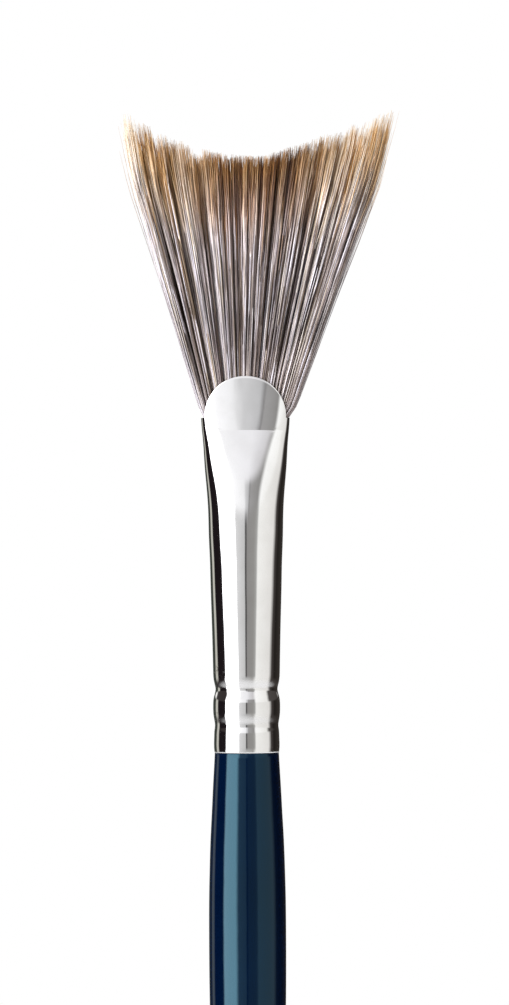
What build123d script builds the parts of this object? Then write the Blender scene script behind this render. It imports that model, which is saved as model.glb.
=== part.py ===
from build123d import *
import math
import os

# Artist's fan brush: a short lacquered wooden handle, a nickel-plated brass ferrule that is round at
# the handle and pressed flat at the mouth, and a fan of soft filaments with a hollowed tip line.
# The brush stands on its tail, hair up: +Z runs from the tail to the hair, X is across the fan and
# Y is through its thickness. The origin is the centre of the tail's end. All sizes are millimetres.

# ---- Handle ----
HANDLE_LENGTH = 125.0            # tail to the ferrule's lower edge
TAIL_FLAT_RADIUS = 1.0
TAIL_RADIUS = 2.0
TAIL_ROUND = 1.4                 # height of the rounding at the tail
BELLY_RADIUS = 4.18              # thickest part of the handle, over the lacquer
BELLY_HEIGHT = 105.0             # middle of the belly's cylindrical band
BELLY_BAND = 8.0                 # length of that band
SHOULDER_RADIUS = 3.47           # handle at the ferrule's lower edge, over the lacquer
LACQUER = 0.2                    # thickness of the lacquer skin

# ---- Ferrule ----
WALL = 0.25                      # thickness of the brass tube
GLUE = 0.10                      # film of glue between the tenon and the ferrule
MOUTH_SIDE_HEIGHT = 36.3         # side rims of the mouth, above the ferrule's lower edge
TONGUE_RADIUS = 4.39             # round lips at the front and back of the mouth
TONGUE_CENTRE_HEIGHT = 36.4
ROUND_HEIGHT = 9.0               # the tube is round up to here
PAD_HEIGHT = 34.9                # the pressed flat pad starts here
PAD_TOP = TONGUE_CENTRE_HEIGHT + TONGUE_RADIUS

# Outer radius of the round end against height: a rolled lip, a light crimp, a bead and a deep crimp.
ROUND_OUTLINE = [
    (3.50, 0.0),
    (3.55, 0.6),
    (3.53, 1.6),
    (3.45, 2.95),
    (3.56, 4.0),
    (3.62, 5.0),
    (3.53, 5.9),
    (3.36, 6.85),
    (3.53, 7.8),
    (3.62, ROUND_HEIGHT),
]
# Half width, half thickness and squareness of the tube above the crimps, at each height.
PRESSED_SECTIONS = [
    (ROUND_HEIGHT, 3.62, 3.62, 2.0),
    (14.5, 3.74, 3.53, 2.0),
    (20.0, 3.88, 3.42, 2.0),
    (25.0, 4.04, 3.27, 2.0),
    (28.5, 4.23, 3.00, 2.1),
    (31.5, 4.45, 2.50, 2.3),
    (PAD_HEIGHT, 4.72, 1.80, 2.7),
]
PAD_SECTION = (4.80, 1.00, 3.0)  # the same three values where the lips would meet the hair
SECTION_POINTS = 28

# ---- Inside the ferrule, heights above its lower edge ----
TENON_TOP = 13.5
TENON_TIP_RADIUS = 3.0
RESIN_BOTTOM, RESIN_TOP = 15.0, 21.0
TIE_RADIUS = 2.4                 # the hair roots are tied into a round bundle
TIE_TOP = 26.0
THREAD_RADIUS = 0.14
THREAD_TURNS = 5
THREAD_START = 22.2
ROOT_CLEARANCE = 0.3             # between the roots and the ferrule's bore

# ---- Hair ----
FAN_BASE_HEIGHT = MOUTH_SIDE_HEIGHT
FAN_BASE_HALF_WIDTH = 4.15
FAN_LEAN = 0.045                 # sideways drift of the whole fan for each unit of height
FAN_SPREAD = 0.335               # further drift of the outermost hair
TIP_HEIGHT = 64.3                # tips at the middle of the fan
TIP_RISE = 5.0                   # extra height of the outermost tips
LOCKS = 13
LOCK_GAP = 0.04
ROOT_HALF_THICKNESS = 0.45       # hair between the ferrule's lips
BELLY_PIVOT_HEIGHT = 41.8        # the hair bends here as it leaves the lips
BELLY_PIVOT_RADIUS = 0.95
TOE_PIVOT_HEIGHT = 53.0          # and again where the belly ends and the toe starts
TOE_PIVOT_RADIUS = 1.10
PIVOT_GAP = 0.25
TOE_MIDDLE_HEIGHT = 60.0
TOE_MIDDLE_HALF_THICKNESS = 0.85
TIP_HALF_THICKNESS = 0.5
FAR = 60.0                       # larger than the brush is wide or thick


def export(shape, name):
    export_step(shape, f"parts/{name}.step")


def revolved(outline_wires):
    """A solid of revolution about Z from wires drawn in the XZ plane."""
    return revolve(make_face(outline_wires), Axis.Z)


# ---- Handle ----
def handle_outline(inset):
    """Right-hand side of the handle from its tail to the ferrule, inset by the lacquer's thickness."""
    band_low = BELLY_HEIGHT - BELLY_BAND / 2
    band_high = BELLY_HEIGHT + BELLY_BAND / 2
    tail = (TAIL_RADIUS - inset, inset + TAIL_ROUND)
    low = (BELLY_RADIUS - inset, band_low)
    high = (BELLY_RADIUS - inset, band_high)
    shoulder = (SHOULDER_RADIUS - inset, HANDLE_LENGTH)
    end_flat = (TAIL_FLAT_RADIUS - inset, inset)
    rounding = Spline(
        _at(end_flat), _at(tail), tangents=[(1, 0, 0), (0.03, 0, 1)], tangent_scalars=[1.0, 1.0]
    )
    taper = Spline(
        _at(tail),
        _at((2.75 - inset, 45.0)),
        _at((3.62 - inset, 77.0)),
        _at(low),
        tangents=[(0.03, 0, 1), (0, 0, 1)],
    )
    band = Line(_at(low), _at(high))
    neck = Spline(
        _at(high),
        _at((3.97 - inset, HANDLE_LENGTH - 9.1)),
        _at((3.69 - inset, HANDLE_LENGTH - 3.9)),
        _at(shoulder),
        tangents=[(0, 0, 1), (-0.06, 0, 1)],
    )
    return [Line((0, 0, inset), _at(end_flat)), rounding, taper, band, neck]


def _at(point):
    """A point in the XZ plane from (x, z)."""
    return (point[0], 0, point[1])


def handle_lacquer():
    outer = handle_outline(0.0)
    inner = handle_outline(LACQUER)
    top = Line(_at((SHOULDER_RADIUS, HANDLE_LENGTH)), _at((SHOULDER_RADIUS - LACQUER, HANDLE_LENGTH)))
    bottom = Line((0, 0, 0), (0, 0, LACQUER))
    return revolved([*outer, top, *inner, bottom])


def handle_core():
    """The turned wood: the tapered grip and the tenon that the ferrule is crimped onto."""
    outline = handle_outline(LACQUER)
    tenon = round_spline(WALL + GLUE)
    foot = tenon @ 0
    head = tenon @ 1
    chamfer_start = (TENON_TIP_RADIUS + 0.2, TENON_TOP - 0.6 + HANDLE_LENGTH)
    tip = (TENON_TIP_RADIUS - 0.3, TENON_TOP + HANDLE_LENGTH)
    top = [
        Line(head, _at(chamfer_start)),
        Line(_at(chamfer_start), _at(tip)),
        Line(_at(tip), (0, 0, tip[1])),
        Line((0, 0, tip[1]), (0, 0, LACQUER)),
    ]
    shoulder = Line(_at((SHOULDER_RADIUS - LACQUER, HANDLE_LENGTH)), foot)
    return revolved([*outline, shoulder, tenon, *top])


# ---- Ferrule ----
def round_spline(inset):
    """Outline of the ferrule's round end, moved inwards."""
    return Spline(*[_at((r - inset, h + HANDLE_LENGTH)) for r, h in ROUND_OUTLINE])


def pressed_section(height, half_width, half_thickness, squareness, inset):
    """A cross-section of the tube: an ellipse at squareness 2, nearer a rectangle above that."""
    points = []
    for i in range(SECTION_POINTS):
        turn = 2 * math.pi * i / SECTION_POINTS
        c, s = math.cos(turn), math.sin(turn)
        x = (half_width - inset) * math.copysign(abs(c) ** (2 / squareness), c)
        y = (half_thickness - inset) * math.copysign(abs(s) ** (2 / squareness), s)
        points.append((x, y, height + HANDLE_LENGTH))
    return make_face([Spline(*points, periodic=True)])


def tube(inset):
    """Everything inside the tube, moved inwards by the inset: the round end and pressing, then the pad."""
    round_sections = [(height, r, r, 2.0) for r, height in ROUND_OUTLINE[:-1]]
    lower = [pressed_section(*section, inset) for section in round_sections + PRESSED_SECTIONS]
    over_lips = pressed_section(PAD_TOP + 1.0, *PAD_SECTION, inset)
    return loft(lower), loft([lower[-1], over_lips])


def mouth_cutter():
    """What the shears take off above the side rims, leaving a round lip at the front and back."""
    rim = MOUTH_SIDE_HEIGHT + HANDLE_LENGTH
    above = Pos(0, 0, rim) * Box(FAR, FAR, FAR, align=(Align.CENTER, Align.CENTER, Align.MIN))
    lips = Pos(0, 0, TONGUE_CENTRE_HEIGHT + HANDLE_LENGTH) * Rot(90, 0, 0) * Cylinder(TONGUE_RADIUS, FAR)
    return above - lips


def ferrule():
    outer_body, outer_pad = tube(0.0)
    bore_body, bore_pad = tube(WALL)
    return outer_body + outer_pad - bore_body - bore_pad - mouth_cutter()


def ferrule_glue(core):
    """Film of glue between the tenon and the round end of the ferrule."""
    return (tube(WALL)[0] & slab(0, ROUND_HEIGHT)) - core


# ---- Hair root ----
def slab(low, high):
    """Everything between two heights above the ferrule's lower edge."""
    return Pos(0, 0, low + HANDLE_LENGTH) * Box(
        FAR, FAR, high - low, align=(Align.CENTER, Align.CENTER, Align.MIN)
    )


def root_resin():
    """Plug of set resin that holds the roots in the ferrule."""
    return tube(WALL)[0] & slab(RESIN_BOTTOM, RESIN_TOP)


def binding_thread():
    """Turns of thread that tie the roots into a bundle before they go into the ferrule."""
    pitch = 2.2 * THREAD_RADIUS
    return [
        Pos(0, 0, HANDLE_LENGTH + THREAD_START + turn * pitch)
        * Torus(TIE_RADIUS + THREAD_RADIUS, THREAD_RADIUS)
        for turn in range(THREAD_TURNS)
    ]


def hair_roots():
    """The bundle inside the ferrule: round where it is tied, flat where the lips hold it."""
    inset = WALL + ROOT_CLEARANCE
    bundle = loft(
        [
            pressed_section(RESIN_TOP, TIE_RADIUS, TIE_RADIUS, 2.0, 0.0),
            pressed_section(TIE_TOP, TIE_RADIUS, TIE_RADIUS, 2.0, 0.0),
            pressed_section(31.5, 4.45, 2.1, 2.4, inset),
            pressed_section(PAD_HEIGHT, 4.72, ROOT_HALF_THICKNESS + inset, 2.6, inset),
            pressed_section(MOUTH_SIDE_HEIGHT, 4.72, ROOT_HALF_THICKNESS + inset, 2.6, inset),
        ],
        ruled=True,
    )
    top = BELLY_PIVOT_HEIGHT
    at_lips = fan_panel(-1.0, 1.0, FAN_BASE_HEIGHT - 0.5, lambda share: top) & side_slab(
        [(ROOT_HALF_THICKNESS, FAN_BASE_HEIGHT - 0.5), (ROOT_HALF_THICKNESS, top)]
    )
    return bundle + at_lips - pivot_rod(top, BELLY_PIVOT_RADIUS + PIVOT_GAP)


# ---- Hair fan ----
def fan_x(share, height):
    """Sideways place of the hair that is share of the way out, from -1 at the left to 1 at the right."""
    rise = height - FAN_BASE_HEIGHT
    return FAN_BASE_HALF_WIDTH * share + (FAN_LEAN + FAN_SPREAD * share) * rise


def tip_height(share):
    return TIP_HEIGHT + TIP_RISE * share**2


def fan_panel(left, right, low, top_of):
    """A slice of the fan seen from the front, made thick: between two shares, from low to a top line."""
    tops = {share: top_of(share) for share in (left, right)}
    corners = [
        (fan_x(left, low), low),
        (fan_x(right, low), low),
        (fan_x(right, tops[right]), tops[right]),
        (fan_x(left, tops[left]), tops[left]),
    ]
    outline = Polyline(*[_at((x, h + HANDLE_LENGTH)) for x, h in corners], close=True)
    return extrude(make_face(outline), FAR / 2, dir=(0, 1, 0), both=True)


def side_slab(profile):
    """A slab as wide as needed across the fan, from its half thicknesses against height."""
    front = [(-y, h) for y, h in reversed(profile)]
    points = [(0, y, h + HANDLE_LENGTH) for y, h in [*profile, *front]]
    return extrude(make_face(Polyline(*points, close=True)), FAR, dir=(1, 0, 0), both=True)


def pivot_rod(height, radius):
    """A rod along X, which rounds off one stretch of hair or hollows the next where they bend."""
    return Pos(0, 0, height + HANDLE_LENGTH) * Rot(0, 90, 0) * Cylinder(radius, 2 * FAR)


def belly_slab():
    low = side_slab(
        [
            (BELLY_PIVOT_RADIUS, BELLY_PIVOT_HEIGHT),
            (TOE_PIVOT_RADIUS, 46.5),
            (TOE_PIVOT_RADIUS, TOE_PIVOT_HEIGHT),
        ]
    )
    foot = pivot_rod(BELLY_PIVOT_HEIGHT, BELLY_PIVOT_RADIUS)
    return low + foot - pivot_rod(TOE_PIVOT_HEIGHT, TOE_PIVOT_RADIUS + PIVOT_GAP)


def toe_slab():
    top = TIP_HEIGHT + TIP_RISE
    high = side_slab(
        [
            (TOE_PIVOT_RADIUS, TOE_PIVOT_HEIGHT),
            (TOE_MIDDLE_HALF_THICKNESS, TOE_MIDDLE_HEIGHT),
            (TIP_HALF_THICKNESS, top),
        ]
    )
    return high + pivot_rod(TOE_PIVOT_HEIGHT, TOE_PIVOT_RADIUS)


def hair_locks():
    """Belly and toe of each lock, as (name, solid)."""
    belly, toe = belly_slab(), toe_slab()
    gap = LOCK_GAP / (2 * FAN_BASE_HALF_WIDTH)
    for i in range(LOCKS):
        left = 2 * i / LOCKS - 1 + gap / 2
        right = 2 * (i + 1) / LOCKS - 1 - gap / 2
        low_panel = fan_panel(
            left, right, BELLY_PIVOT_HEIGHT - BELLY_PIVOT_RADIUS, lambda share: TOE_PIVOT_HEIGHT
        )
        high_panel = fan_panel(left, right, TOE_PIVOT_HEIGHT - TOE_PIVOT_RADIUS, tip_height)
        yield f"belly_lock_{i + 1:02d}", belly & low_panel
        yield f"toe_lock_{i + 1:02d}", toe & high_panel


def main():
    os.makedirs("parts", exist_ok=True)
    core = handle_core()
    export(core, "handle_core")
    export(handle_lacquer(), "handle_lacquer")
    export(ferrule(), "ferrule")
    export(ferrule_glue(core), "ferrule_glue")
    export(root_resin(), "root_resin")
    export(Compound(children=binding_thread()), "binding_thread")
    export(hair_roots(), "hair_roots")
    for name, lock in hair_locks():
        export(lock, name)


main()
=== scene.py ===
import math

import bpy
import numpy as np
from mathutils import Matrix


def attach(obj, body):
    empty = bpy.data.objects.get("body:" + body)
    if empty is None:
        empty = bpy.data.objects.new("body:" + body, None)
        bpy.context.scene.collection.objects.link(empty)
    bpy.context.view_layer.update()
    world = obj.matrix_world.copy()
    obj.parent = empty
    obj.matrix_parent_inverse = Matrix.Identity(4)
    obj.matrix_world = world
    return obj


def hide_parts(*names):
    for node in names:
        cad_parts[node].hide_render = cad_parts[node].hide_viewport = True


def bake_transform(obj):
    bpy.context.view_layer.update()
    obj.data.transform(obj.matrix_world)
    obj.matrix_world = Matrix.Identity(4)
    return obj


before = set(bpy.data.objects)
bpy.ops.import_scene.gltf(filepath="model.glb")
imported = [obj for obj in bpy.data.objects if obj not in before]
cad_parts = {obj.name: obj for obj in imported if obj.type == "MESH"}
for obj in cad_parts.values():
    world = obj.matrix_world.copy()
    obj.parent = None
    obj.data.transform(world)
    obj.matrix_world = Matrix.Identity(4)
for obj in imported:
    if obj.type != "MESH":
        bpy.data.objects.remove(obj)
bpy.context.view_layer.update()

MM = 0.001
RNG = np.random.default_rng(570)

HANDLE_LENGTH = 125.0
WALL = 0.25

# heights on the ferrule and the hair are in millimetres above the ferrule's lower edge
ROUND_END = 9.0                 # the tube is round below this, and flattens above it
CREASE = 34.9                   # the lower edge of the pressed pad
CREASE_HALF_THICKNESS = 1.80
PAD_LENGTH = 6.9                # over this length the pad's half thickness drops by PAD_THINNING
PAD_THINNING = 0.80
RIM = 36.3                      # top of the side rims
LIP_CENTRE = 36.4               # the front and back lips are arcs round this height
LIP_RADIUS = 4.39
LIP_END = 4.389                 # the arcs stop this far out

LOCKS = 13
ROOT = 33.5                     # the filaments' lower ends
SPLIT = 47.0                    # each filament's two pieces meet here
KNEE = 53.0                     # filaments are thinner above this


# ---------------------------------------------------------------- helpers
def smooth(points):
    """A natural cubic spline through (x, value) pairs, as a function of x."""
    xs = np.array([p[0] for p in points], float)
    ys = np.array([p[1] for p in points], float)
    n = len(xs)
    gaps = np.diff(xs)
    slopes = np.diff(ys) / gaps
    system = np.eye(n)
    right = np.zeros(n)
    for i in range(1, n - 1):
        system[i, i - 1] = gaps[i - 1]
        system[i, i] = 2 * (gaps[i - 1] + gaps[i])
        system[i, i + 1] = gaps[i]
        right[i] = 6 * (slopes[i] - slopes[i - 1])
    bend = np.linalg.solve(system, right)

    def value(x):
        x = np.clip(np.asarray(x, float), xs[0], xs[-1])
        i = np.clip(np.searchsorted(xs, x) - 1, 0, n - 2)
        h = gaps[i]
        a = (xs[i + 1] - x) / h
        b = (x - xs[i]) / h
        curve = (a**3 - a) * bend[i] + (b**3 - b) * bend[i + 1]
        return a * ys[i] + b * ys[i + 1] + curve * h * h / 6

    return value


def new_object(name, vertices, faces, material):
    mesh = bpy.data.meshes.new(name)
    mesh.from_pydata([tuple(v) for v in np.asarray(vertices) * MM], [], faces)
    mesh.update()
    mesh.polygons.foreach_set("use_smooth", [True] * len(mesh.polygons))
    mesh.materials.append(material)
    obj = bpy.data.objects.new(name, mesh)
    bpy.context.scene.collection.objects.link(obj)
    return obj


def grid_faces(rows, columns):
    """Quads of a tube made of rings, each with the same number of points."""
    faces = []
    for r in range(rows - 1):
        low = r * columns
        high = low + columns
        for c in range(columns):
            d = (c + 1) % columns
            faces.append((low + c, low + d, high + d, high + c))
    return faces


# ---------------------------------------------------------------- materials
class Nodes:
    """Short calls for building a material's node tree."""

    def __init__(self, name):
        self.material = bpy.data.materials.new(name)
        self.material.use_nodes = True
        self.tree = self.material.node_tree
        self.tree.nodes.clear()
        self.out = self.tree.nodes.new("ShaderNodeOutputMaterial")
        self.shader = self.tree.nodes.new("ShaderNodeBsdfPrincipled")
        self.link(self.shader.outputs[0], self.out.inputs["Surface"])

    def link(self, a, b):
        self.tree.links.new(a, b)

    def set(self, **values):
        for key, value in values.items():
            self.shader.inputs[key.replace("_", " ")].default_value = value

    def node(self, kind, **settings):
        made = self.tree.nodes.new(kind)
        for key, value in settings.items():
            setattr(made, key, value)
        return made

    def place(self, scale=(1, 1, 1)):
        """Object coordinates in millimetres, stretched by scale."""
        coordinates = self.node("ShaderNodeTexCoord")
        mapping = self.node("ShaderNodeMapping")
        mapping.inputs["Scale"].default_value = tuple(1000 * s for s in scale)
        self.link(coordinates.outputs["Object"], mapping.inputs["Vector"])
        return mapping.outputs[0]

    def noise(self, where, scale, detail=4.0, roughness=0.55):
        made = self.node("ShaderNodeTexNoise")
        made.inputs["Scale"].default_value = scale
        made.inputs["Detail"].default_value = detail
        made.inputs["Roughness"].default_value = roughness
        self.link(where, made.inputs["Vector"])
        return made.outputs["Fac"]

    def ramp(self, value, stops):
        made = self.node("ShaderNodeValToRGB")
        ramp = made.color_ramp
        for i, (place, colour) in enumerate(stops):
            stop = ramp.elements[i] if i < 2 else ramp.elements.new(place)
            stop.position = place
            colour = colour if isinstance(colour, tuple) else (colour, colour, colour)
            stop.color = (*colour, 1)
        self.link(value, made.inputs["Fac"])
        return made.outputs["Color"]

    def span(self, value, low, high, new_low, new_high):
        made = self.node("ShaderNodeMapRange")
        made.inputs["From Min"].default_value = low
        made.inputs["From Max"].default_value = high
        made.inputs["To Min"].default_value = new_low
        made.inputs["To Max"].default_value = new_high
        self.link(value, made.inputs["Value"])
        return made.outputs["Result"]

    def mix(self, share, a, b, blend="MIX"):
        made = self.node("ShaderNodeMix", data_type="RGBA", blend_type=blend)
        for socket, value in ((made.inputs[0], share), (made.inputs[6], a), (made.inputs[7], b)):
            if isinstance(value, bpy.types.NodeSocket):
                self.link(value, socket)
            elif isinstance(value, tuple):
                socket.default_value = (*value, 1)
            else:
                socket.default_value = value
        return made.outputs[2]

    def attribute(self, name):
        made = self.node("ShaderNodeAttribute", attribute_name=name)
        return made.outputs["Fac"]

    def math(self, operation, a, b):
        made = self.node("ShaderNodeMath", operation=operation)
        for socket, value in zip(made.inputs, (a, b)):
            if isinstance(value, bpy.types.NodeSocket):
                self.link(value, socket)
            else:
                socket.default_value = value
        return made.outputs[0]

    def bump(self, height, strength, distance):
        made = self.node("ShaderNodeBump")
        made.inputs["Strength"].default_value = strength
        made.inputs["Distance"].default_value = distance * MM
        self.link(height, made.inputs["Height"])
        self.link(made.outputs[0], self.shader.inputs["Normal"])
        return made

    def to(self, value, key):
        self.link(value, self.shader.inputs[key])


def rgb(r, g, b):
    """sRGB 0 to 255 as linear values."""
    out = []
    for c in (r, g, b):
        c = c / 255
        out.append(c / 12.92 if c <= 0.04045 else ((c + 0.055) / 1.055) ** 2.4)
    return tuple(out)


def nickel_material():
    m = Nodes("polished_nickel")
    m.set(Metallic=1.0)
    where = m.place()
    drawn = m.place((1, 1, 0.05))
    patches = m.noise(where, 0.35, 3)
    lines = m.noise(drawn, 6.0, 3)
    base = m.mix(m.span(patches, 0.35, 0.65, 0, 1), (0.90, 0.897, 0.895), (0.85, 0.846, 0.84))
    tarnish = m.attribute("scuff")
    specks = m.span(m.noise(where, 2.4, 4, 0.7), 0.52, 0.66, 0, 1)
    worn = m.math("MULTIPLY", tarnish, specks)
    base = m.mix(worn, base, (0.42, 0.39, 0.35))
    m.to(base, "Base Color")
    rough = m.math("ADD", m.span(lines, 0.3, 0.7, 0.035, 0.075), m.math("MULTIPLY", worn, 0.35))
    m.to(rough, "Roughness")
    waves = m.noise(m.place((1, 1, 0.35)), 0.28, 2)
    height = m.math("ADD", waves, m.math("MULTIPLY", lines, 0.012))
    m.bump(height, 0.5, 0.05)
    return m.material


def lacquer_material():
    m = Nodes("navy_lacquer")
    where = m.place()
    depth = m.noise(where, 0.12, 2)
    deep, pale = (0.0001, 0.0034, 0.0170), (0.0002, 0.0046, 0.0210)
    colour = m.mix(m.span(depth, 0.3, 0.7, 0, 1), deep, pale)
    dust = m.span(m.noise(where, 9.0, 2), 0.70, 0.78, 0, 0.6)
    colour = m.mix(dust, colour, (0.006, 0.02, 0.045))
    m.to(colour, "Base Color")
    m.set(IOR=1.5, Specular_IOR_Level=0.5, Specular_Tint=(0.38, 0.82, 1.0, 1))
    m.to(m.span(m.noise(where, 1.6, 3), 0.3, 0.7, 0.06, 0.11), "Roughness")
    peel = m.noise(m.place((1, 1, 0.5)), 0.55, 2)
    m.bump(peel, 0.35, 0.03)
    return m.material


def wood_material():
    m = Nodes("turned_wood")
    grain = m.noise(m.place((1, 1, 0.04)), 2.2, 5)
    m.to(m.ramp(grain, [(0.3, rgb(150, 112, 72)), (0.7, rgb(214, 178, 130))]), "Base Color")
    m.to(m.span(grain, 0.3, 0.7, 0.7, 0.5), "Roughness")
    m.bump(grain, 0.4, 0.05)
    return m.material


def glue_material():
    m = Nodes("dried_glue")
    cloud = m.noise(m.place(), 1.2, 4)
    m.to(m.ramp(cloud, [(0.3, rgb(196, 172, 118)), (0.7, rgb(226, 206, 150))]), "Base Color")
    m.to(m.span(cloud, 0.3, 0.7, 0.35, 0.6), "Roughness")
    m.bump(cloud, 0.3, 0.04)
    return m.material


def resin_material():
    m = Nodes("set_resin")
    cloud = m.noise(m.place(), 0.8, 3)
    m.to(m.ramp(cloud, [(0.3, rgb(120, 70, 24)), (0.7, rgb(176, 112, 46))]), "Base Color")
    m.to(m.span(cloud, 0.3, 0.7, 0.12, 0.3), "Roughness")
    m.bump(cloud, 0.2, 0.05)
    return m.material


def thread_material():
    m = Nodes("binding_thread")
    twist = m.node("ShaderNodeTexWave", wave_type="BANDS", bands_direction="DIAGONAL")
    twist.inputs["Scale"].default_value = 3.2
    m.link(m.place(), twist.inputs["Vector"])
    stops = [(0.2, rgb(176, 168, 150)), (0.8, rgb(224, 218, 204))]
    m.to(m.ramp(twist.outputs["Fac"], stops), "Base Color")
    m.set(Roughness=0.8)
    m.bump(twist.outputs["Fac"], 0.6, 0.04)
    return m.material


def packed_hair_material():
    m = Nodes("packed_hair")
    fibres = m.noise(m.place((1, 1, 0.03)), 5.0, 4, 0.7)
    stops = [(0.3, rgb(44, 34, 33)), (0.55, rgb(96, 84, 84)), (0.75, rgb(150, 142, 146))]
    m.to(m.ramp(fibres, stops), "Base Color")
    m.to(m.span(fibres, 0.3, 0.7, 0.6, 0.4), "Roughness")
    m.bump(fibres, 0.8, 0.08)
    return m.material


def hair_material():
    """Each filament has one of a few tones, and goes from grey at its root to ochre at its tip."""
    m = Nodes("fan_hair")
    tone = m.attribute("tone")
    warm = m.attribute("warm")
    along = m.attribute("along")
    side = m.attribute("side")
    body = m.ramp(
        tone,
        [
            (0.0, rgb(26, 17, 17)),
            (0.25, rgb(74, 61, 60)),
            (0.5, rgb(134, 122, 124)),
            (0.75, rgb(188, 179, 185)),
            (1.0, rgb(234, 230, 240)),
        ],
    )
    tan = m.ramp(tone, [(0.0, rgb(46, 32, 21)), (0.5, rgb(138, 117, 94)), (1.0, rgb(214, 198, 174))])
    lower = m.mix(warm, body, tan)
    middle = m.ramp(
        tone,
        [
            (0.0, rgb(40, 18, 4)),
            (0.35, rgb(98, 58, 22)),
            (0.7, rgb(158, 106, 50)),
            (1.0, rgb(218, 172, 114)),
        ],
    )
    outside = m.ramp(
        tone,
        [
            (0.0, rgb(126, 80, 38)),
            (0.35, rgb(200, 150, 88)),
            (0.7, rgb(240, 204, 150)),
            (1.0, rgb(254, 242, 224)),
        ],
    )
    tips = m.mix(m.span(side, 0.35, 0.95, 0.0, 1.0), middle, outside)
    colour = m.mix(along, lower, tips)
    smudge = m.span(m.noise(m.place((0.8, 0.8, 0.14)), 1.0, 3, 0.6), 0.36, 0.62, 0.80, 1.22)
    shade = m.node("ShaderNodeVectorMath", operation="SCALE")
    m.link(colour, shade.inputs[0])
    m.link(m.math("MULTIPLY", smudge, m.attribute("gain")), shade.inputs["Scale"])
    m.to(shade.outputs["Vector"], "Base Color")
    m.set(Roughness=0.42, Specular_IOR_Level=0.35)
    return m.material


# ---------------------------------------------------------------- handle
def handle_radius():
    """Radius over the lacquer against height above the tail."""
    return smooth(
        [
            (1.4, 2.0),
            (20.0, 2.31),
            (45.0, 2.75),
            (77.0, 3.60),
            (92.0, 4.02),
            (101.0, 4.17),
            (105.0, 4.18),
            (109.0, 4.16),
            (112.5, 4.08),
            (HANDLE_LENGTH - 9.1, 3.96),
            (HANDLE_LENGTH - 6.5, 3.82),
            (HANDLE_LENGTH - 3.9, 3.69),
            (HANDLE_LENGTH - 1.3, 3.54),
            (HANDLE_LENGTH, 3.47),
        ]
    )


def build_handle(material):
    """The lacquer skin: flat tail, rounded edge, turned side, and a bevel under the ferrule."""
    radius = handle_radius()
    columns = 128
    edge_steps = 12
    profile = [(0.0001, 0.0), (0.6, 0.0), (0.95, 0.0)]
    for i in range(1, edge_steps + 1):
        turn = math.pi / 2 * i / edge_steps
        profile.append((1.0 + 1.0 * math.sin(turn), 1.4 * (1 - math.cos(turn))))
    for z in np.linspace(1.6, HANDLE_LENGTH - 0.12, 260):
        profile.append((float(radius(z)), float(z)))
    profile += [(3.455, HANDLE_LENGTH - 0.05), (3.42, HANDLE_LENGTH), (3.29, HANDLE_LENGTH)]
    turns = np.arange(columns) * 2 * math.pi / columns
    rings = [
        np.column_stack([r * np.cos(turns), r * np.sin(turns), np.full(columns, z)])
        for r, z in profile
    ]
    vertices = np.vstack(rings)
    handle = new_object("handle_lacquer_skin", vertices, grid_faces(len(profile), columns), material)
    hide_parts("handle_lacquer")
    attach(handle, "handle")
    return handle


# ---------------------------------------------------------------- ferrule
ROUND_RADIUS = smooth(
    [
        (0.0, 3.50),
        (0.6, 3.55),
        (1.6, 3.535),
        (2.35, 3.50),
        (2.95, 3.44),
        (3.5, 3.51),
        (4.1, 3.60),
        (5.0, 3.63),
        (5.8, 3.58),
        (6.35, 3.45),
        (6.85, 3.36),
        (7.35, 3.45),
        (7.9, 3.56),
        (9.0, 3.62),
    ]
)
HALF_WIDTH = smooth(
    [
        (9.0, 3.62),
        (14.3, 3.74),
        (18.2, 3.85),
        (20.8, 3.91),
        (23.4, 4.015),
        (26.0, 4.07),
        (28.6, 4.23),
        (31.2, 4.45),
        (33.85, 4.61),
        (35.0, 4.72),
        (41.0, 4.80),
    ]
)
HALF_THICKNESS = smooth(
    [
        (9.0, 3.62),
        (14.5, 3.53),
        (20.0, 3.42),
        (25.0, 3.27),
        (28.5, 3.00),
        (31.5, 2.50),
        (CREASE, CREASE_HALF_THICKNESS),
    ]
)
# exponent of the tube's section: 2 is an ellipse, and more is squarer
SQUARENESS = smooth(
    [(9.0, 2.0), (20.0, 2.0), (25.0, 2.0), (28.5, 2.1), (31.5, 2.3), (CREASE, 2.7), (41.8, 3.0)]
)
CREASE_DEPTH = 0.007
CREASE_WIDTH = 0.16


def tube_point(height, turn, inset):
    """A point of the wall at a height, an angle round the tube, and a distance in from outside."""
    if height <= ROUND_END:
        r = float(ROUND_RADIUS(height)) - inset
        return (r * math.cos(turn), r * math.sin(turn), height + HANDLE_LENGTH)
    a = float(HALF_WIDTH(height)) - inset
    if height < CREASE:
        b = float(HALF_THICKNESS(height))
    else:
        b = CREASE_HALF_THICKNESS - PAD_THINNING * (height - CREASE) / PAD_LENGTH
    b -= CREASE_DEPTH * math.exp(-(((height - CREASE) / CREASE_WIDTH) ** 2)) + inset
    n = float(SQUARENESS(height))
    c, s = math.cos(turn), math.sin(turn)
    x = a * math.copysign(abs(c) ** (2 / n), c)
    y = b * math.copysign(abs(s) ** (2 / n), s)
    return (x, y, height + HANDLE_LENGTH)


def mouth_height(x):
    """Top of the wall: side rims, with a round lip at the front and back."""
    if abs(x) >= LIP_END:
        return RIM
    return LIP_CENTRE + math.sqrt(max(LIP_RADIUS**2 - x * x, 0))


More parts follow.
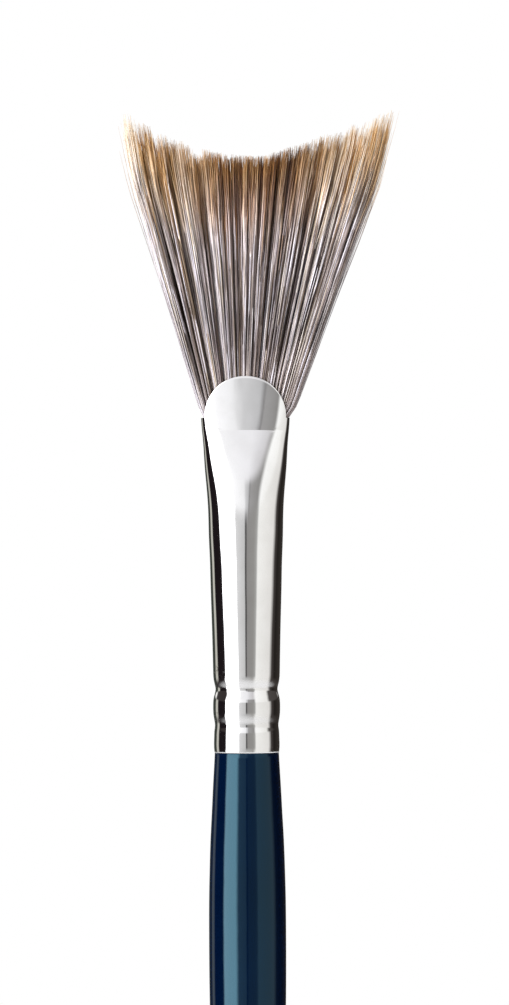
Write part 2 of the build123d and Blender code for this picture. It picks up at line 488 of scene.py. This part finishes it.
def ferrule_rows():
    """Rings of the wall: up the outside, over the lip, and down the inside."""
    columns = 520
    pad_start, lips_start = 34.6, 35.2      # rings are close together between these, over the crease
    lip_steps = 26
    heights = sorted(
        set(np.round(np.concatenate([
            np.linspace(0.0, ROUND_END, 73),
            np.linspace(ROUND_END, pad_start, 65),
            np.linspace(pad_start, lips_start, 10),
        ]), 4).tolist())
    )
    # angles are closer together near the sides, where the lips' outline is steep
    even = np.arange(columns) * 2 * math.pi / columns
    turns = even - 0.42 * np.sin(2 * even) / 2
    tops = [mouth_height(tube_point(RIM, t, 0.0)[0]) for t in turns]

    def level(height, inset):
        return [tube_point(height, t, inset) for t in turns]

    def up_the_lips(share, inset):
        """A ring part of the way from the crease to just under the lips' top."""
        return [
            tube_point(lips_start + (top - 0.05 - lips_start) * share, t, inset)
            for t, top in zip(turns, tops)
        ]

    def under_the_top(drop, inset):
        return [tube_point(top - drop, t, inset) for t, top in zip(turns, tops)]

    rows = [level(h, 0.0) for h in heights]
    rows += [up_the_lips(k / lip_steps, 0.0) for k in range(1, lip_steps + 1)]
    rows += [under_the_top(0.015, 0.02), under_the_top(0, 0.07), under_the_top(0, WALL - 0.06)]
    rows.append(under_the_top(0.05, WALL))
    rows += [up_the_lips(share, WALL) for share in (0.75, 0.5, 0.25, 0.0)]
    rows += [level(h, WALL) for h in [*heights[::-6], 0.0]]
    return rows


def scuffs(vertices):
    """Handling marks: thickest round the crimps and along the left side."""
    h = vertices[:, 2] - HANDLE_LENGTH
    deep_crimp = np.exp(-(((h - 8.6) / 1.6) ** 2))
    light_crimp = 0.8 * np.exp(-(((h - 3.2) / 2.0) ** 2))
    out = vertices[:, 0] / 3.5
    side = np.clip(-out, 0, 1) ** 4 + 0.5 * np.clip(out, 0, 1) ** 6 + 0.03
    return np.clip((deep_crimp + light_crimp + 0.05) * side, 0, 1)


def build_ferrule(material):
    rows = ferrule_rows()
    columns = len(rows[0])
    vertices = np.array([p for row in rows for p in row])
    faces = grid_faces(len(rows), columns)
    last = (len(rows) - 1) * columns
    faces += [(last + c, last + (c + 1) % columns, (c + 1) % columns, c) for c in range(columns)]
    ferrule = new_object("ferrule_tube", vertices, faces, material)
    scuff = ferrule.data.attributes.new("scuff", "FLOAT", "POINT")
    scuff.data.foreach_set("value", scuffs(vertices).astype(np.float32))
    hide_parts("ferrule")
    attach(ferrule, "handle")
    return ferrule


# ---------------------------------------------------------------- hair
TONE_STEPS = 12
WARMTHS = (0.1, 0.35, 0.6, 0.9)
TONES = TONE_STEPS * len(WARMTHS)       # each filament has one of these tones
CLUMPS_PER_LOCK = 24
STRANDS_PER_CLUMP = 16
SIDES = 3                               # a filament is a thin three-sided tube
FADE = 8.0                              # millimetres from the tip over which the ochre fades to grey
UV_TOP = 70.0
LOWER_RINGS = [ROOT, 35.4, 36.3, 37.4, 38.6, 39.8, 41.0, 42.2, 43.4, 44.6, 45.8, SPLIT]
UPPER_SHARES = [0.0, 0.08, 0.16, 0.24, 0.32, 0.41, 0.51, 0.62, 0.73, 0.83, 0.92, 1.0]
# how bright the hair is at each height
GAIN_HEIGHTS = [42, 47, 53, 57, 62]
GAINS = [0.95, 0.84, 1.08, 1.15, 0.97]


def tip_line(s):
    """Height of the tips against the share of the way out from the middle."""
    if s >= 0:
        return 64.4 + 5.2 * s**1.25
    notch = 0.7 if -0.50 < s < -0.405 else 0.0
    return 64.4 + 5.1 * s * s - notch


def spread(s, h):
    """Sideways place of a filament at a height: narrow in the ferrule, flared at its rim, straight above."""
    rise = np.clip((h - 34.6) / 3.2, 0, 1)
    rise = rise * rise * (3 - 2 * rise)
    free = 0.2 + 4.78 * s + (0.038 + 0.330 * s) * (h - RIM)
    held = 4.12 * s
    curl = -0.05 * np.clip(h - 60.5, 0, None) ** 1.35 * np.sign(s) * np.abs(s) ** 3
    return held + (free - held) * rise + curl


def lightness(s):
    """How much lighter than the middle the hair is at a share of the way out."""
    places = [-1.0, -0.93, -0.88, -0.80, -0.68, -0.30, 0.0, 0.28, 0.45, 0.58, 0.80, 1.0]
    extra = [0.50, 0.34, -0.13, -0.12, 0.04, 0.04, 0.02, -0.06, -0.12, 0.08, 0.14, 0.16]
    return np.interp(s, places, extra)


def half_depth(h):
    """Half thickness of the fan at a height."""
    heights = [ROOT, RIM, 40.5, 44.0, 49.0, 53.0, 60.0, 69.0]
    return np.interp(h, heights, [0.45, 0.55, 0.8, 1.0, 1.1, 1.05, 0.8, 0.45])


def strand_set():
    """All filaments: share, depth, length, tone class, wave, and the share that their clump closes to."""
    strands = []
    RNG.uniform(size=2 * TONES)     # draws that nothing uses: without them the whole fan would change
    for lock in range(LOCKS):
        low = 2 * lock / LOCKS - 1
        width = 2 / LOCKS
        for clump in range(CLUMPS_PER_LOCK):
            centre = low + width * (clump + 0.5 + RNG.uniform(-0.25, 0.25)) / CLUMPS_PER_LOCK
            outer = abs(centre)
            depth = RNG.uniform(-1, 1)
            light = RNG.beta(1.5, 1.12) + lightness(centre)
            close = RNG.uniform(0.2, 0.6) + 0.3 * outer
            shorter = RNG.exponential(0.32 + 0.75 * outer**1.5)
            for _ in range(int(STRANDS_PER_CLUMP * (1.05 - 0.35 * outer**2))):
                s = centre + RNG.normal(0, 0.62) * width / CLUMPS_PER_LOCK
                deep_cut = RNG.uniform(0, 5) if RNG.uniform() < 0.12 else 0
                strands.append(
                    dict(
                        lock=lock,
                        s=s,
                        end=s + (centre - s) * close,
                        y=np.clip(depth + RNG.normal(0, 0.35), -1, 1),
                        tone=np.clip(light + RNG.normal(0, 0.24), 0, 1),
                        warm=np.clip(RNG.normal(0.3, 0.3), 0, 1),
                        short=shorter + RNG.exponential(0.40 + 1.1 * outer**1.5) + deep_cut,
                        wave=RNG.normal(0, 0.06),
                        weave=RNG.normal(0, 0.14),
                        turn=RNG.uniform(0, 2 * math.pi),
                        bend=RNG.normal(0, 0.12 + 0.12 * outer),
                        lean=RNG.normal(0, 0.10),
                        r=RNG.uniform(0.036, 0.074),
                    )
                )
    for lock, count, side in ((0, 26, -1), (LOCKS - 1, 14, 1)):
        for _ in range(count):
            s = side * RNG.uniform(0.96, 1.03)
            strands.append(
                dict(
                    lock=lock,
                    s=s,
                    end=s + side * RNG.uniform(-0.05, 0.025),
                    y=RNG.uniform(-0.8, 0.8),
                    tone=RNG.uniform(0.2, 1),
                    warm=RNG.uniform(0, 0.4),
                    short=RNG.uniform(0, 9),
                    wave=RNG.normal(0, 0.08),
                    weave=0.0,
                    turn=RNG.uniform(0, 2 * math.pi),
                    bend=RNG.normal(0.1 * side, 0.2) + (0.3 * side if RNG.uniform() < 0.14 else 0.0),
                    lean=RNG.normal(0, 0.15),
                    r=RNG.uniform(0.024, 0.036),
                )
            )
    return strands


def strand_line(k, heights):
    """Centre points of a filament at the given heights."""
    h = np.asarray(heights, float)
    top = k["top"]
    close = np.clip((h - 50) / (top - 50), 0, 1) ** 1.5
    s = k["s"] + (k["end"] - k["s"]) * close
    x = spread(s, h)
    up = np.clip((h - 41) / (top - 41), 0, 1)
    x = x + k["wave"] * np.sin(k["turn"] + h * 0.45) * up + k["bend"] * up**2
    y = k["y"] * half_depth(h) + k["lean"] * up**2
    y = y + k["weave"] * np.sin(2 * k["turn"] + h * 0.42) * np.clip((h - 38) / 6, 0, 1)
    return np.column_stack([x, y, h + HANDLE_LENGTH])


def ring_heights(k, upper):
    """Heights of the rings of a filament's upper or lower piece."""
    if upper:
        return [SPLIT + (k["top"] - SPLIT) * share for share in UPPER_SHARES]
    return LOWER_RINGS


def thickness(k, h, upper):
    """A filament's radius at a height: even below the knee, and thinner towards the tip."""
    if not upper:
        return k["r"]
    share = max(h - KNEE, 0.0) / (k["top"] - KNEE)
    return k["r"] * (1 - 0.82 * share**3.4)


def look(k, h):
    """What the hair's material reads at a height of a filament."""
    return {
        "tone": k["tone"],
        "warm": k["warm"],
        "along": float(np.clip(1.15 - (k["top"] - h) / FADE, 0, 1)),
        "side": min(abs(k["s"]) * (1.3 if k["s"] > 0 else 1.12), 1.0),
        "gain": float(np.interp(h, GAIN_HEIGHTS, GAINS)),
    }


def filament_faces(base, rings, upper):
    """Quads round a filament, and its one closed end: an upper piece's tip or a lower piece's foot."""
    faces = []
    for i in range(rings - 1):
        a = base + i * SIDES
        for j in range(SIDES):
            d = (j + 1) % SIDES
            faces.append((a + j, a + d, a + SIDES + d, a + SIDES + j))
    if upper:
        top = base + (rings - 1) * SIDES
        faces.append((top, top + 1, top + 2))
    else:
        faces.append((base + 2, base + 1, base))
    return faces


def build_lock(name, strands, upper, material):
    """The upper or lower pieces of all filaments of a lock, as one mesh."""
    vertices, faces, looks, uvs = [], [], [], []
    foot, head = (SPLIT, UV_TOP) if upper else (ROOT, SPLIT)
    for k in strands:
        heights = ring_heights(k, upper)
        base = len(vertices)
        for (x, y, z), h in zip(strand_line(k, heights), heights):
            r = thickness(k, h, upper)
            for j in range(SIDES):
                angle = k["turn"] + 2 * math.pi * j / SIDES
                vertices.append((x + r * math.cos(angle), y + r * math.sin(angle), z))
            looks += [look(k, h)] * SIDES
            uvs += [((k["class"] + 0.5) / TONES, (h - foot) / (head - foot))] * SIDES
        faces += filament_faces(base, len(heights), upper)
    obj = new_object(name, vertices, faces, material)
    mesh = obj.data
    for key in ("tone", "warm", "along", "side", "gain"):
        made = mesh.attributes.new(key, "FLOAT", "POINT")
        made.data.foreach_set("value", np.array([values[key] for values in looks], np.float32))
    layer = mesh.uv_layers.new(name="OFBake")
    index = np.empty(len(mesh.loops), np.int32)
    mesh.loops.foreach_get("vertex_index", index)
    uv = np.array(uvs)
    uv[:, 1] = np.clip(uv[:, 1], 0.003, 0.997)
    layer.data.foreach_set("uv", uv[index].astype(np.float32).ravel())
    return obj


def build_hair(material):
    strands = strand_set()
    for k in strands:
        light = min(int(k["tone"] * TONE_STEPS), TONE_STEPS - 1)
        heat = min(int(k["warm"] * len(WARMTHS)), len(WARMTHS) - 1)
        k["class"] = light * len(WARMTHS) + heat
        k["tone"] = (0.5 + light) / TONE_STEPS
        k["warm"] = WARMTHS[heat]
        k["top"] = tip_line(k["end"]) - k["short"] + 0.35
    for lock in range(LOCKS):
        own = [k for k in strands if k["lock"] == lock]
        number = f"{lock + 1:02d}"
        lower = build_lock(f"hair_belly_{number}", own, False, material)
        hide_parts(f"belly_lock_{number}")
        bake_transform(lower)
        upper = build_lock(f"hair_toe_{number}", own, True, material)
        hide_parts(f"toe_lock_{number}")
        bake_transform(upper)


# ---------------------------------------------------------------- carried-over nodes
def dress(name, material):
    """Gives a CAD node that is kept as it is a material."""
    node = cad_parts[name]
    node.data.materials.clear()
    node.data.materials.append(material)


# ---------------------------------------------------------------- stage
FLOOR_RADIUS = 620.0
FLOOR_DROP = 0.02               # the floor is this far under the tail
FLOOR_FADE = (100.0, 610.0)     # the floor goes from solid to clear between these distances


def build_floor():
    """A pale disc that fades out into the backdrop."""
    columns, rows = 96, 14
    vertices = [(0.0, 0.0, 0.0)]
    for r in range(1, rows + 1):
        reach = FLOOR_RADIUS * (r / rows) ** 1.3
        for c in range(columns):
            turn = 2 * math.pi * c / columns
            vertices.append((reach * math.cos(turn), reach * math.sin(turn), 0.0))
    faces = [(0, 1 + c, 1 + (c + 1) % columns) for c in range(columns)]
    for r in range(rows - 1):
        for c in range(columns):
            d = (c + 1) % columns
            a = 1 + r * columns
            faces.append((a + c, a + columns + c, a + columns + d, a + d))
    m = Nodes("pale_floor")
    m.set(Roughness=0.9)
    m.to(m.ramp(m.noise(m.place(), 0.02, 3), [(0.3, 0.80), (0.7, 0.84)]), "Base Color")
    clear = m.node("ShaderNodeBsdfTransparent")
    blend = m.node("ShaderNodeMixShader")
    reach = m.node("ShaderNodeVectorMath", operation="LENGTH")
    m.link(m.place(), reach.inputs[0])
    fade = m.node("ShaderNodeMapRange", interpolation_type="SMOOTHERSTEP")
    fade.inputs["From Min"].default_value = FLOOR_FADE[0]
    fade.inputs["From Max"].default_value = FLOOR_FADE[1]
    m.link(reach.outputs["Value"], fade.inputs["Value"])
    m.link(fade.outputs["Result"], blend.inputs[0])
    m.link(m.shader.outputs[0], blend.inputs[1])
    m.link(clear.outputs[0], blend.inputs[2])
    m.link(blend.outputs[0], m.out.inputs["Surface"])
    floor = new_object("floor", np.array(vertices) - np.array([0, 0, FLOOR_DROP]), faces, m.material)


# Light from around the brush: (degrees round from the main view, + to its right; brightness; colour).
# LEVEL_RING is level with the brush, HIGH_RING and TOP_RING are above it, and LOW_RING is below.
# The panels are placed for the main view's reflections, and stay where they are in other views.
LEVEL_RING = [
    (-180, 0.10, (0.85, 1.0, 0.85)),
    (-136, 0.04, (0.9, 1.0, 0.85)),
    (-131, 0.58, (1.0, 0.98, 0.88)),
    (-120, 0.58, (1.0, 0.98, 0.88)),
    (-116, 0.012, (1.0, 0.70, 0.90)),
    (-79, 0.012, (1.0, 0.70, 0.80)),
    (-73, 6.4, (1.0, 1.0, 1.02)),
    (-36, 6.6, (1.0, 1.0, 1.02)),
    (-27, 0.78, (1.0, 1.0, 1.01)),
    (-4, 0.60, (1.0, 1.0, 1.0)),
    (-1.8, 0.05, (1.0, 0.95, 0.95)),
    (0.8, 0.05, (1.0, 0.95, 0.95)),
    (2, 0.29, (1.0, 0.97, 0.95)),
    (22, 0.32, (1.0, 0.98, 0.94)),
    (29, 0.42, (1.0, 1.0, 0.97)),
    (33, 0.97, (1.0, 0.995, 0.97)),
    (84, 0.84, (1.0, 0.98, 0.95)),
    (97, 0.06, (1.0, 0.86, 0.80)),
    (112, 0.018, (1.0, 0.85, 0.75)),
    (172, 0.05, (1.0, 0.85, 0.75)),
    (180, 0.10, (0.85, 1.0, 0.85)),
]
HIGH_RING = [
    (-180, 1.50, (1.0, 0.99, 0.97)),
    (-140, 1.10, (1.0, 0.99, 0.96)),
    (-130, 0.05, (1.0, 0.85, 0.85)),
    (-80, 0.04, (1.0, 0.80, 0.80)),
    (-73, 6.2, (1.0, 1.0, 1.02)),
    (-34, 6.2, (1.0, 1.0, 1.02)),
    (-24, 1.15, (1.0, 1.0, 1.02)),
    (-3, 0.98, (1.0, 1.0, 1.02)),
    (0, 0.68, (1.0, 1.0, 1.02)),
    (5, 0.56, (1.0, 1.0, 1.02)),
    (6.5, 0.20, (1.0, 0.97, 0.98)),
    (8, 0.38, (1.0, 0.98, 0.98)),
    (26, 0.30, (1.0, 0.98, 0.96)),
    (33, 1.08, (1.0, 1.0, 0.99)),
    (76, 0.95, (1.0, 0.99, 0.96)),
    (88, 0.08, (1.0, 0.90, 0.85)),
    (142, 0.06, (1.0, 0.88, 0.82)),
    (156, 1.30, (1.0, 0.99, 0.97)),
    (180, 1.50, (1.0, 0.99, 0.97)),
]
TOP_RING = [
    (-180, 1.70, (1.0, 1.0, 0.99)),
    (-140, 1.30, (1.0, 0.99, 0.97)),
    (-130, 0.05, (1.0, 0.85, 0.85)),
    (-80, 0.04, (1.0, 0.80, 0.80)),
    (-72, 4.0, (1.0, 1.0, 1.02)),
    (-34, 4.0, (1.0, 1.0, 1.02)),
    (-24, 1.05, (1.0, 1.0, 1.02)),
    (2, 0.96, (0.995, 0.99, 1.02)),
    (12, 0.78, (1.0, 0.99, 1.02)),
    (24, 0.66, (1.0, 0.98, 1.0)),
    (34, 1.08, (1.0, 1.0, 0.99)),
    (78, 0.95, (1.0, 0.99, 0.96)),
    (90, 0.08, (1.0, 0.90, 0.85)),
    (138, 0.06, (1.0, 0.88, 0.82)),
    (152, 1.50, (1.0, 0.99, 0.97)),
    (180, 1.70, (1.0, 1.0, 0.99)),
]
LOW_RING = [
    (-180, 0.80, (1.0, 1.0, 0.98)),
    (-156, 0.60, (1.0, 0.99, 0.96)),
    (-146, 0.04, (1.0, 0.80, 0.85)),
    (-84, 0.012, (1.0, 0.70, 0.80)),
    (-77, 4.0, (1.0, 1.0, 1.02)),
    (-36, 4.0, (1.0, 1.0, 1.02)),
    (-27, 0.78, (1.0, 1.0, 1.01)),
    (0, 0.50, (1.0, 1.0, 1.0)),
    (22, 0.40, (1.0, 0.98, 0.94)),
    (33, 0.97, (1.0, 0.995, 0.97)),
    (84, 0.84, (1.0, 0.98, 0.95)),
    (97, 0.06, (1.0, 0.86, 0.80)),
    (146, 0.05, (1.0, 0.86, 0.80)),
    (156, 0.60, (1.0, 0.99, 0.96)),
    (180, 0.80, (1.0, 1.0, 0.98)),
]
BRIGHTEST = 7.0
# how steep a direction is where one ring has given way to the next, as its Z part, from and to
TO_HIGH = (0.07, 0.14)
TO_TOP = (0.26, 0.34)
TO_LOW = (0.12, 0.24)
TO_OVERHEAD = (0.66, 0.90)
TO_UNDERFOOT = (0.74, 0.94)
OVERHEAD = (1.05, 1.06, 1.09, 1)
UNDERFOOT = (0.55, 0.55, 0.55, 1)


def build_world():
    """Soft panels all round the brush; the backdrop itself is seen as plain white."""
    world = bpy.data.worlds.new("studio")
    bpy.context.scene.world = world
    world.use_nodes = True
    tree = world.node_tree
    tree.nodes.clear()
    link = tree.links.new

    def node(kind, **settings):
        made = tree.nodes.new(kind)
        for key, value in settings.items():
            setattr(made, key, value)
        return made

    def negative(value):
        made = node("ShaderNodeMath", operation="MULTIPLY")
        made.inputs[1].default_value = -1
        link(value, made.inputs[0])
        return made.outputs[0]

    def change(value, limits, before, after):
        """Goes smoothly from one colour to another as the value goes between the limits."""
        share = node("ShaderNodeMapRange", interpolation_type="SMOOTHSTEP")
        share.inputs["From Min"].default_value = limits[0]
        share.inputs["From Max"].default_value = limits[1]
        link(value, share.inputs["Value"])
        made = node("ShaderNodeMix", data_type="RGBA")
        link(share.outputs["Result"], made.inputs[0])
        for socket, colour in ((made.inputs[6], before), (made.inputs[7], after)):
            if isinstance(colour, tuple):
                socket.default_value = colour
            else:
                link(colour, socket)
        return made.outputs[2]

    direction = node("ShaderNodeTexCoord")
    parts = node("ShaderNodeSeparateXYZ")
    link(direction.outputs["Generated"], parts.inputs[0])
    turn = node("ShaderNodeMath", operation="ARCTAN2")
    link(parts.outputs["X"], turn.inputs[0])
    link(negative(parts.outputs["Y"]), turn.inputs[1])
    share = node("ShaderNodeMapRange")
    share.inputs["From Min"].default_value = -math.pi
    share.inputs["From Max"].default_value = math.pi
    link(turn.outputs[0], share.inputs["Value"])

    def ring(stops):
        made = node("ShaderNodeValToRGB")
        for i, (angle, bright, tint) in enumerate(stops):
            place = angle / 360 + 0.5
            stop = made.color_ramp.elements[i] if i < 2 else made.color_ramp.elements.new(place)
            stop.position = place
            stop.color = (*[min(bright * t / BRIGHTEST, 1.0) for t in tint], 1)
        link(share.outputs["Result"], made.inputs["Fac"])
        return made.outputs["Color"]

    up = parts.outputs["Z"]
    down = negative(up)
    around = change(up, TO_HIGH, ring(LEVEL_RING), ring(HIGH_RING))
    around = change(down, TO_LOW, around, ring(LOW_RING))
    around = change(up, TO_TOP, around, ring(TOP_RING))
    strong = node("ShaderNodeVectorMath", operation="SCALE")
    strong.inputs["Scale"].default_value = BRIGHTEST
    link(around, strong.inputs[0])
    light = change(up, TO_OVERHEAD, strong.outputs["Vector"], OVERHEAD)
    light = change(down, TO_UNDERFOOT, light, UNDERFOOT)
    lit = node("ShaderNodeBackground")
    link(light, lit.inputs["Color"])
    seen = node("ShaderNodeBackground")
    seen.inputs["Color"].default_value = (1, 1, 1, 1)
    path = node("ShaderNodeLightPath")
    choose = node("ShaderNodeMixShader")
    link(path.outputs["Is Camera Ray"], choose.inputs[0])
    link(lit.outputs[0], choose.inputs[1])
    link(seen.outputs[0], choose.inputs[2])
    out = node("ShaderNodeOutputWorld")
    link(choose.outputs[0], out.inputs["Surface"])


VIEW_HEIGHT = 109.04            # millimetres from the view's lower edge to its upper, at the brush
VIEW_CENTRE = (0.95, HANDLE_LENGTH + 27.07)
CAMERA_ROLL = 0.25              # degrees: the brush leans very slightly in the view


def build_camera():
    """A long lens level with the hair, looking along +Y."""
    data = bpy.data.cameras.new("camera")
    data.lens = 200.0
    data.sensor_width = 36.0
    data.sensor_fit = "AUTO"
    distance = VIEW_HEIGHT * data.lens / data.sensor_width
    data.clip_start = 0.01
    data.clip_end = 50
    camera = bpy.data.objects.new("camera", data)
    bpy.context.scene.collection.objects.link(camera)
    camera.location = (VIEW_CENTRE[0] * MM, -distance * MM, VIEW_CENTRE[1] * MM)
    camera.rotation_euler = (math.pi / 2, math.radians(CAMERA_ROLL), 0)
    bpy.context.scene.camera = camera


def main():
    build_handle(lacquer_material())
    build_ferrule(nickel_material())
    build_hair(hair_material())
    dress("handle_core", wood_material())
    dress("ferrule_glue", glue_material())
    dress("root_resin", resin_material())
    dress("binding_thread", thread_material())
    dress("hair_roots", packed_hair_material())
    build_floor()
    build_world()
    build_camera()
    bpy.context.scene.view_settings.view_transform = "Standard"


main()
